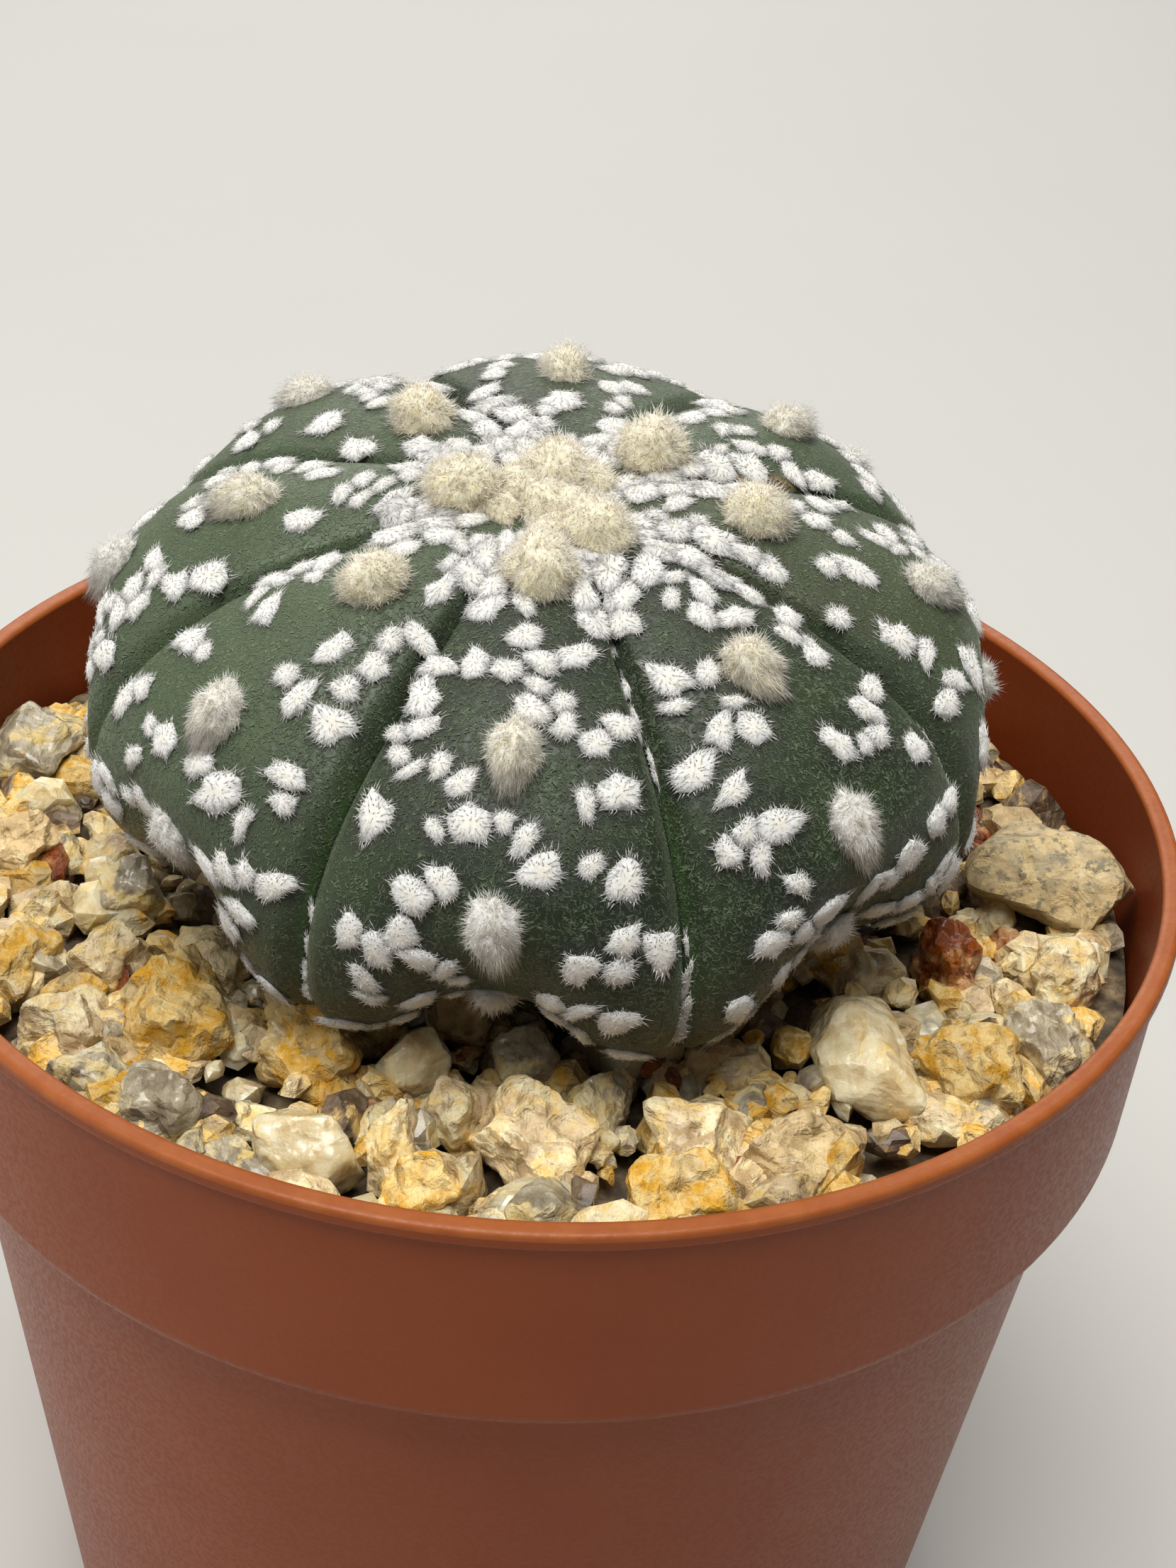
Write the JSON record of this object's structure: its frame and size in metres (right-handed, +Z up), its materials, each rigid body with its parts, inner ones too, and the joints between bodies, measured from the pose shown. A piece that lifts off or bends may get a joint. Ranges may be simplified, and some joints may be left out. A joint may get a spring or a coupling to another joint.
{
  "type": "potted star cactus",
  "caption": "Spineless ribbed star cactus with woolly areoles and felted white flecks, in gravel and soil in a round terracotta plastic pot.",
  "frame": {"origin": "centre of the bottom of the pot's foot ring, on the surface it stands on", "axes": "+Z up along the pot's axis, -Y towards the side that faces the camera, +X to the right seen from there"},
  "size_m": [0.09, 0.09, 0.1053],
  "materials": {
    "pot_plastic": "satin moulded plastic with a fine grain and light scuffs",
    "soil": "dark crumbly potting soil",
    "gravel": "angular mixed quartz gravel, ochre, cream and grey",
    "plant_skin": "finely wrinkled grey-green skin with white felt flecks and cream wool areoles"
  },
  "bodies": {
    "root": {"pot": "pot_plastic", "soil": "soil", "gravel": "gravel", "plant": "plant_skin"}
  },
  "joints": []
}
